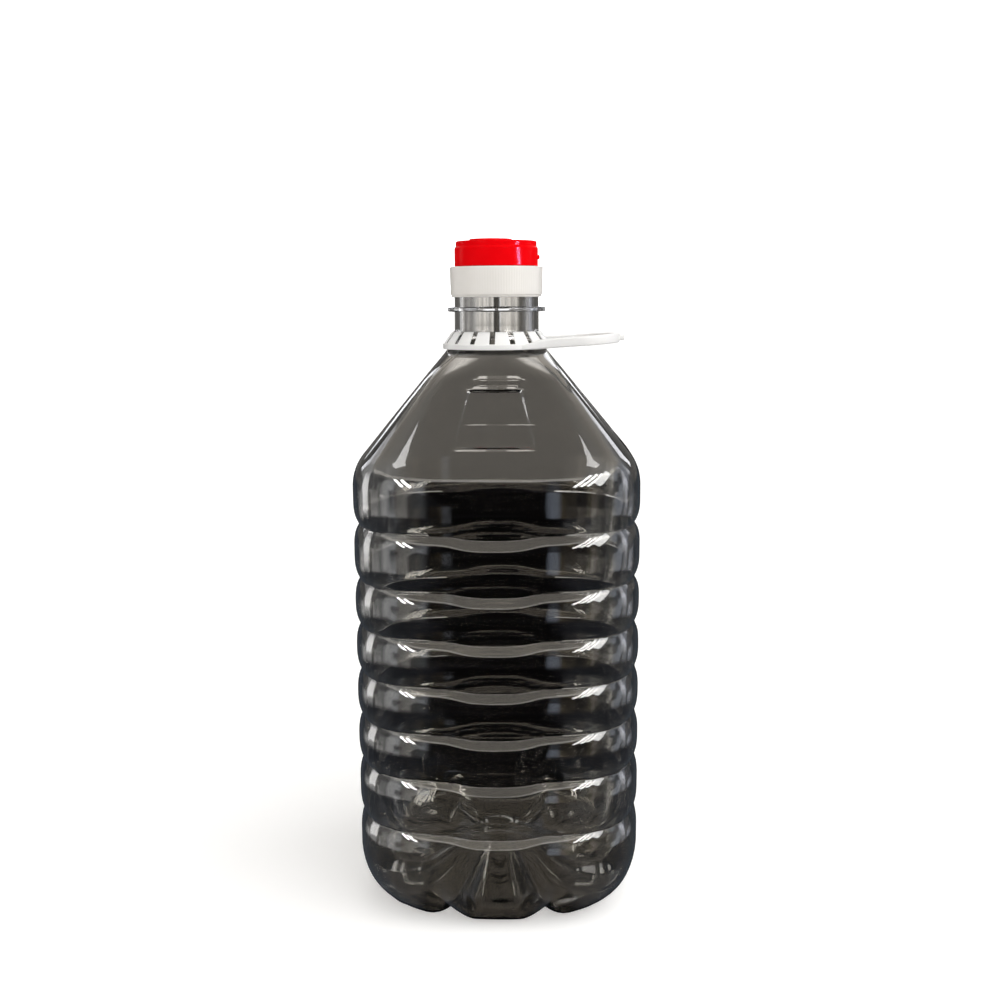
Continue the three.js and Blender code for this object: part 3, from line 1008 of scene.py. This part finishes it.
class JUG_OT_carry_handle(bpy.types.Operator):
    """Build the white collar with its fingers and the loop"""

    bl_idname = "jug.carry_handle"
    bl_label = "Carry handle"

    def execute(self, context):
        h = context.scene.jug_handle
        white = pale_plastic("white_moulded_plastic", context.scene.jug_colours.white)
        rim_top = h.bottom + h.rim
        rim = [
            (h.bore, h.bottom, 0.0),
            (h.radius, h.bottom, RIM_FOOT_EDGE),
            (h.radius, rim_top, RIM_TOP_EDGE),
            (h.rim_bore, rim_top, RIM_BORE_EDGE),
            (h.bore, h.bottom, 0.0),
        ]
        fingers = finger_sizes(h)
        spot = start_mesh("fingers", [(0, 0, 0)])
        strap = {
            "thickness": float(h.strap_thickness),
            "height": float(h.strap_height),
            "fillet": float(h.strap_fillet),
        }
        middle, shares = strap_points(h)
        line = start_mesh("strap", middle, {"share": shares})
        tip_x, _, tip_z = middle[len(middle) // 2]
        tab_end = tip_x + h.strap_thickness / 2 + h.tab_length
        tab_low = (tip_x, -TAB_HALF, tip_z - h.tab_height / 2)
        tab_high = (tab_end, TAB_HALF, tip_z + h.tab_height / 2)
        pieces = [
            turned("carry_loop", rounded(rim), white),
            grow("collar_fingers", spot, finger_tree(fingers), fingers, white),
            grow("strap", line, strap_tree(strap), strap, white),
            block("loop_tab", tab_low, tab_high, TAB_EDGE, white),
        ]
        dress(joined(pieces), "handle", "carry_handle")
        return {"FINISHED"}


# Materials

BLACK = (0.0, 0.0, 0.0, 1.0)
WHITE = (1.0, 1.0, 1.0, 1.0)

# How the streaks of painted light and shade on the neck are drawn out upwards
STREAK_STRETCH = (1.0, 1.0, 0.03)

# How light scatters under pale plastic, and how high the grain of moulded plastic stands
SCATTER_RADIUS = (2 * MM, 2 * MM, 1.8 * MM)
GRAIN_HEIGHT = 0.02 * MM


def tone(rgb, factor=1.0):
    return tuple(min(1.0, c * factor) for c in rgb) + (1.0,)


class Paint(Maker):
    """A material's node tree, started with its Principled shader."""

    def __init__(self, name):
        self.material = bpy.data.materials.new(name)
        self.material.use_nodes = True
        super().__init__(self.material.node_tree)
        self.shader = self.tree.nodes["Principled BSDF"]
        self.place = self.node("ShaderNodeTexCoord", output="Object")

    def set(self, **values):
        """Values or links for the shader, by its sockets' names with underscores."""
        self.feed(self.shader.inputs, {name.replace("_", " "): value for name, value in values.items()})

    def noise(self, scale, detail=3.0, place=None):
        sockets = {"Vector": place or self.place, "Scale": scale, "Detail": detail}
        return self.node("ShaderNodeTexNoise", None, sockets)

    def clouded(self, cloud, rgb, share):
        """A colour that a cloud makes darker or paler by up to a share."""
        return self.blend(cloud, tone(rgb, 1 - share), tone(rgb, 1 + share))

    def grain(self, scale, strength):
        """The fine grain of a moulded surface."""
        height = self.noise(scale, detail=2.0)
        sockets = {"Height": height, "Distance": GRAIN_HEIGHT, "Strength": strength}
        return self.node("ShaderNodeBump", None, sockets)


def smoke_and_shade_plastic(rgb, b):
    """Clear blown plastic with a smoky tint that is partly painted shade, paler on the neck with streaks
    of painted light and shade, and untinted on its ring as painted light.
    """
    paint = Paint("smoke_clear_plastic")
    smear = paint.smooth(paint.noise(scale=55.0, detail=4.0), 0.45, 0.75)
    _, _, height = paint.axes(paint.place)
    haze_and_light = paint.smooth(height, b.neck_start, b.neck_start + HAZE_AND_LIGHT_FADE)
    # Painted light: the support ring has no tint, so it looks paler than the wall
    ring = paint.smooth(height, b.ring_bottom - RING_FADE, b.ring_bottom)
    ring = ring * paint.smooth(height, b.ring_top + RING_FADE, b.ring_top)
    upright = paint.node("ShaderNodeMapping", None, {"Vector": paint.place, "Scale": STREAK_STRETCH})
    streak = paint.smooth(paint.noise(scale=260.0, detail=2.0, place=upright), 0.35, 0.65)
    wall = paint.clouded(paint.noise(scale=14.0), rgb, share=0.08)
    # Painted light and shade: the neck's tint is paler, with darker and lighter streaks
    neck = paint.blend(streak, tone(rgb, 0.72), tone(rgb, 1.47))
    paint.set(
        Base_Color=paint.blend(ring, paint.blend(haze_and_light, wall, neck), WHITE),
        Roughness=0.002 + 0.008 * smear + 0.016 * haze_and_light,
        IOR=1.57,
        Transmission_Weight=1.0,
    )
    return paint.material


def pale_plastic(name, rgb):
    """Moulded pale plastic with a faint grain."""
    paint = Paint(name)
    cloud = paint.noise(scale=90.0)
    paint.set(
        Base_Color=paint.clouded(cloud, rgb, share=0.03),
        Roughness=0.3 + 0.12 * cloud,
        Normal=paint.grain(scale=2600.0, strength=0.35),
        Subsurface_Weight=0.08,
        Subsurface_Radius=SCATTER_RADIUS,
    )
    return paint.material


def red_plastic(rgb):
    """Glossy red moulded plastic."""
    paint = Paint("red_moulded_plastic")
    cloud = paint.noise(scale=110.0)
    paint.set(
        Base_Color=paint.clouded(cloud, rgb, share=0.06),
        Roughness=0.1 + 0.06 * cloud,
        Specular_IOR_Level=0.01,
        Normal=paint.grain(scale=2200.0, strength=0.3),
    )
    return paint.material


# The studio

FLOOR_REACH = 40.0
FLOOR_GLOW = (0.36, 0.36, 0.36, 1.0)

# Tones of the room
TABLE_TONE = (0.0015, 0.0015, 0.0016, 1.0)
TABLE_SIDE_TONE = (0.028, 0.032, 0.039, 1.0)
BACK_TONE = (0.07, 0.068, 0.066, 1.0)
BACK_PANE_TONE = (1.3, 1.32, 1.4, 1.0)
GAP_TONE = (0.62, 0.62, 0.63, 1.0)
SHADOW_TONE = (0.012, 0.012, 0.013, 1.0)
CEILING_TONE = (0.52, 0.485, 0.435, 1.0)
COVE_TONE = (0.64, 0.62, 0.59, 1.0)
CORNICE_TONE = (1.3, 1.25, 1.16, 1.0)

# Tones of the walls by the angle right of the front, in degrees
WALL_TONES = (
    (-180, (0.3, 0.3, 0.3)),
    (-119, (0.5, 0.5, 0.5)),
    (-115, (1.9, 1.9, 1.9)),
    (-105, (1.9, 1.9, 1.9)),
    (-101, (0.5, 0.5, 0.5)),
    (-84, (0.95, 0.93, 0.9)),
    (-74, (0.4, 0.4, 0.4)),
    (-66, (0.95, 0.95, 0.95)),
    (-50, (0.9, 0.92, 0.95)),
    (-47, (0.42, 0.4, 0.38)),
    (-34, (0.62, 0.6, 0.57)),
    (-22, (0.6, 0.63, 0.68)),
    (-18, (0.004, 0.0037, 0.0034)),
    (7, (0.003, 0.0028, 0.0026)),
    (9, (0.4, 0.45, 0.55)),
    (13, (0.4, 0.44, 0.52)),
    (15, (0.2, 0.165, 0.11)),
    (24, (0.28, 0.235, 0.16)),
    (27, (0.1, 0.09, 0.07)),
    (40, (0.16, 0.14, 0.1)),
    (44, (0.4, 0.36, 0.3)),
    (66, (0.25, 0.25, 0.26)),
    (70, (0.6, 0.58, 0.52)),
    (86, (0.5, 0.54, 0.62)),
    (100, (0.5, 0.54, 0.62)),
    (104, (1.3, 1.35, 1.5)),
    (112, (1.3, 1.35, 1.5)),
    (116, (0.4, 0.43, 0.5)),
    (180, (0.3, 0.3, 0.3)),
)

# Where one part of the room gives way to the next, in degrees over the level
TABLE_EDGE = (-20.0, -14.0)
BACK_TABLE_EDGE = (-3.5, -1.0)
GAP_FOOT = (-1.8, -0.8)
GAP_HEAD = (4.0, 2.5)
PANES_FOOT = (8.0, 11.0)
PANES_HEAD = (32.0, 28.0)
CEILING_EDGE = (22.0, 36.0)
CORNICE_FOOT = (28.0, 30.0)
CORNICE_HEAD = (36.0, 33.0)

# The same by how far a ray points sideways, or away from the front
TABLE_SIDE = (0.1, 0.4)
GAP_INSIDE = (0.007, 0.01)
GAP_OUTSIDE = (0.09, 0.05)
COVE_SIDE = (0.35, 0.7)
COVE_FRONT = (0.3, -0.1)
CORNICE_FRONT = (0.3, 0.0)
BACK_START = (0.5, 0.75)

# Dark clutter on the walls, and the bars between the panes at the back
CLUTTER_SHARE = 0.75
CLUTTER_SCALE = 2.8
CLUTTER_DETAIL = 0.6
CLUTTER_EDGE = (0.43, 0.6)
PANES_RATE = 26.0
PANES_EDGE = (0.1, 0.5)

# Share of the room's light that matt surfaces don't get
MATT_DIMMING = 0.7

# The overhead light, down over the jug from its front and right
SUN_SPREAD = math.radians(80)
SUN_DIRECTION = (-0.45, 0.45, -0.77)

# Directions are in degrees, panes are shares of the width, and power is a share of the setting
Window = namedtuple("Window", "name azimuth elevation distance size panes power")
WINDOWS = (
    Window("right_window", 51, 27, 1.7, (1.15, 1.0), (0.2, 0.2, 0.2, 0.4), 1.0),
    Window("left_window", -40, 22, 1.9, (0.5, 0.6), (0.5, 0.5), 0.5),
    Window("left_skylight", -73, 55.5, 1.6, (0.42, 0.32), (1.0,), 0.065),
    Window("right_skylight", 73, 55.5, 1.6, (0.42, 0.32), (1.0,), 0.065),
)
WINDOW_TARGET = Vector((0.0, 0.0, 0.17))
WINDOW_BAR = 0.13

# The lid's own lamp, right of the front, with its power as a share of the setting
GLINT_TURN = math.radians(65)
GLINT_DISTANCE = 1.7
GLINT_HEIGHT = 0.4
GLINT_SIZE = (0.45, 0.2)
GLINT_COLOUR = (0.8, 0.5, 1.0)
GLINT_POWER = 8.5

SENSOR_WIDTH = 36.0


def studio_floor(rgb):
    """Pale floor that the camera sees a little brighter, and that doesn't show in the jug."""
    paint = Paint("studio_floor")
    seen = paint.node("ShaderNodeLightPath", output="Is Camera Ray")
    glow = paint.blend(seen, BLACK, FLOOR_GLOW)
    paint.set(Base_Color=tone(rgb), Roughness=0.9, Specular_IOR_Level=0.0)
    paint.set(Emission_Color=glow, Emission_Strength=1.0)
    mesh = bpy.data.meshes.new("floor")
    turns = ((-1, -1), (1, -1), (1, 1), (-1, 1))
    corners = [(x * FLOOR_REACH, y * FLOOR_REACH, 0.0) for x, y in turns]
    mesh.from_pydata(corners, [], [(0, 1, 2, 3)])
    mesh.materials.append(paint.material)
    floor = add_object("floor", mesh)
    floor.visible_glossy = False
    floor.visible_transmission = False


class Room(Maker):
    """The world's node tree, started with the direction of each ray."""

    # The texture coordinate that gives a world its ray's direction
    RAY_OUTPUT = 0

    def __init__(self, tree):
        super().__init__(tree)
        self.ray = self.node("ShaderNodeTexCoord", output=self.RAY_OUTPUT)
        self.x, self.y, z = self.axes(self.ray)
        self.elevation = self.math("ARCSINE", z) / math.radians(1)
        self.azimuth = self.math("ARCTAN2", self.x, self.y * -1) / math.radians(1)

    def over(self, edge):
        """0 under an edge's elevations and 1 over them, or the other way about."""
        return self.smooth(self.elevation, *edge)

    def table(self):
        return self.blend(self.smooth(abs(self.x), *TABLE_SIDE), TABLE_TONE, TABLE_SIDE_TONE)

    def front(self):
        """Walls by their angle, with dark clutter, over the table."""
        stops = [((degrees + 180) / 360, rgb) for degrees, rgb in WALL_TONES]
        walls = self.node("ShaderNodeValToRGB", {"stops": stops}, {0: (self.azimuth + 180) / 360})
        sockets = {"Vector": self.ray, "Scale": CLUTTER_SCALE, "Detail": CLUTTER_DETAIL}
        clutter = self.smooth(self.node("ShaderNodeTexNoise", None, sockets), *CLUTTER_EDGE)
        walls = self.blend(CLUTTER_SHARE * clutter, walls, SHADOW_TONE)
        return self.blend(self.over(TABLE_EDGE), self.table(), walls)

    def back(self, view_turn):
        """A dark wall behind the jug, with a pale gap over the table and high panes."""
        wall = self.blend(self.over(BACK_TABLE_EDGE), self.table(), BACK_TONE)
        aside = abs(self.x + math.sin(view_turn))
        gap = self.smooth(aside, *GAP_INSIDE) * self.smooth(aside, *GAP_OUTSIDE)
        level = self.over(GAP_FOOT) * self.over(GAP_HEAD)
        wall = self.blend(gap * level, wall, GAP_TONE)
        panes = self.smooth(self.math("SINE", self.x * PANES_RATE), *PANES_EDGE)
        high = self.over(PANES_FOOT) * self.over(PANES_HEAD)
        return self.blend(panes * high, wall, BACK_PANE_TONE)

    def ceiling(self):
        """Paler at the sides, towards the front."""
        cove = self.smooth(abs(self.x), *COVE_SIDE) * self.smooth(self.y, *COVE_FRONT)
        return self.blend(cove, CEILING_TONE, COVE_TONE)


def room_world(brightness, view_turn):
    """White to the camera; in reflections and through the wall, a room with a dark doorway and table."""
    world = bpy.data.worlds.new("room")
    world.use_nodes = True
    room = Room(world.node_tree)
    look = room.blend(room.smooth(room.y, *BACK_START), room.front(), room.back(view_turn))
    look = room.blend(room.over(CEILING_EDGE), look, room.ceiling())
    cornice = room.over(CORNICE_FOOT) * room.over(CORNICE_HEAD)
    look = room.blend(cornice * room.smooth(room.y, *CORNICE_FRONT), look, CORNICE_TONE)
    matt = room.node("ShaderNodeLightPath", output="Is Diffuse Ray")
    look = room.blend(matt * MATT_DIMMING, look, BLACK)
    seen = room.node("ShaderNodeLightPath", output="Is Camera Ray")
    look = room.blend(seen, look, WHITE)
    background = world.node_tree.nodes["Background"]
    room.feed(background.inputs, {"Color": look, "Strength": brightness})
    return world


def area_lamp(name, place, target, size, watts):
    """A rectangular lamp that faces a target and shows only in what is glossy or clear."""
    data = bpy.data.lights.new(name, "AREA")
    data.shape = "RECTANGLE"
    data.size, data.size_y = size
    data.energy = watts
    lamp = add_object(name, data)
    lamp.location = place
    lamp.rotation_euler = (Vector(target) - Vector(place)).to_track_quat("-Z", "Z").to_euler()
    lamp.visible_camera = False
    lamp.visible_diffuse = False
    return lamp


def soft_sun(strength):
    """Even light from above that reflections don't show."""
    data = bpy.data.lights.new("overhead", "SUN")
    data.energy = strength
    data.angle = SUN_SPREAD
    sun = add_object("overhead", data)
    sun.rotation_euler = Vector(SUN_DIRECTION).to_track_quat("-Z", "Y").to_euler()
    sun.visible_glossy = False
    sun.visible_transmission = False


def paned_window(window, watts):
    """A window of separate panes that faces the jug from its direction."""
    azimuth = math.radians(window.azimuth)
    elevation = math.radians(window.elevation)
    flat = math.cos(elevation) * window.distance
    rise = math.sin(elevation) * window.distance
    inwards = Vector((-math.sin(azimuth) * flat, math.cos(azimuth) * flat, -rise))
    right = Vector((math.cos(azimuth), math.sin(azimuth), 0.0))
    wide, tall = window.size
    left = -wide / 2
    for i, fraction in enumerate(window.panes):
        width = wide * fraction
        centre = WINDOW_TARGET - inwards + right * (left + width / 2)
        left += width
        size = (width - WINDOW_BAR, tall)
        area_lamp(f"{window.name}_{i}", centre, centre + inwards, size, watts * window.power * fraction)


def lid_glint(watts):
    """A lamp for the lid alone, for the upright highlight on its side."""
    place = Vector((math.sin(GLINT_TURN), -math.cos(GLINT_TURN), 0.0)) * GLINT_DISTANCE
    place.z = GLINT_HEIGHT
    lamp = area_lamp("lid_glint", place, (0.0, 0.0, GLINT_HEIGHT), GLINT_SIZE, watts * GLINT_POWER)
    lamp.data.color = GLINT_COLOUR
    lit = bpy.data.collections.new("lid_alone")
    lit.objects.link(bpy.data.objects["red_lid"])
    lamp.light_linking.receiver_collection = lit


def photo_camera(s):
    """A camera that stands where the picture was taken."""
    data = bpy.data.cameras.new("photo_camera")
    data.sensor_width = SENSOR_WIDTH
    data.lens = s.lens
    data.shift_x = s.shift_x
    data.shift_y = s.shift_y
    camera = add_object("photo_camera", data)
    ahead = Vector((-math.sin(s.azimuth), math.cos(s.azimuth), 0.0))
    right = Vector((math.cos(s.azimuth), math.sin(s.azimuth), 0.0))
    up = Vector((0.0, 0.0, 1.0))
    look = ahead * math.cos(s.pitch) - up * math.sin(s.pitch)
    over = right.cross(look)
    side = right * math.cos(s.roll) - over * math.sin(s.roll)
    top = right * math.sin(s.roll) + over * math.cos(s.roll)
    turn = Matrix((side, top, -look)).transposed().to_4x4()
    camera.matrix_world = Matrix.Translation(ahead * -s.distance + up * s.height) @ turn
    bpy.context.scene.camera = camera


class JUG_OT_stage(bpy.types.Operator):
    """Set up the floor, the light and the camera"""

    bl_idname = "jug.stage"
    bl_label = "Studio"

    def execute(self, context):
        scene = context.scene
        s = scene.jug_stage
        studio_floor(scene.jug_colours.floor)
        scene.world = room_world(s.room, s.azimuth)
        scene.view_settings.view_transform = "Standard"
        soft_sun(s.lamp)
        for window in WINDOWS:
            paned_window(window, s.window)
        lid_glint(s.window)
        photo_camera(s)
        return {"FINISHED"}


OPERATORS = (JUG_OT_bottle, JUG_OT_carry_handle, JUG_OT_cap_base, JUG_OT_cap_lid, JUG_OT_stage)


class JUG_PT_build(bpy.types.Panel):
    """Lists the pieces of the jug"""

    bl_idname = "JUG_PT_build"
    bl_label = "Storage Jug"
    bl_space_type = "VIEW_3D"
    bl_region_type = "UI"
    bl_category = "Jug"

    def draw(self, context):
        for operator in OPERATORS:
            self.layout.operator(operator.bl_idname)


GROUPS = {
    "jug_bottle": JugBottle,
    "jug_handle": JugHandle,
    "jug_cap": JugCap,
    "jug_colours": JugColours,
    "jug_stage": JugStage,
}


def register():
    for group in (*GROUPS.values(), *OPERATORS, JUG_PT_build):
        bpy.utils.register_class(group)
    for name, group in GROUPS.items():
        setattr(bpy.types.Scene, name, PointerProperty(type=group))


def unregister():
    for name in GROUPS:
        delattr(bpy.types.Scene, name)
    for group in (JUG_PT_build, *OPERATORS, *GROUPS.values()):
        bpy.utils.unregister_class(group)


def main():
    register()
    bpy.ops.jug.bottle()
    bpy.ops.jug.carry_handle()
    bpy.ops.jug.cap_base()
    bpy.ops.jug.cap_lid()
    bpy.ops.jug.stage()


if __name__ == "__main__":
    main()
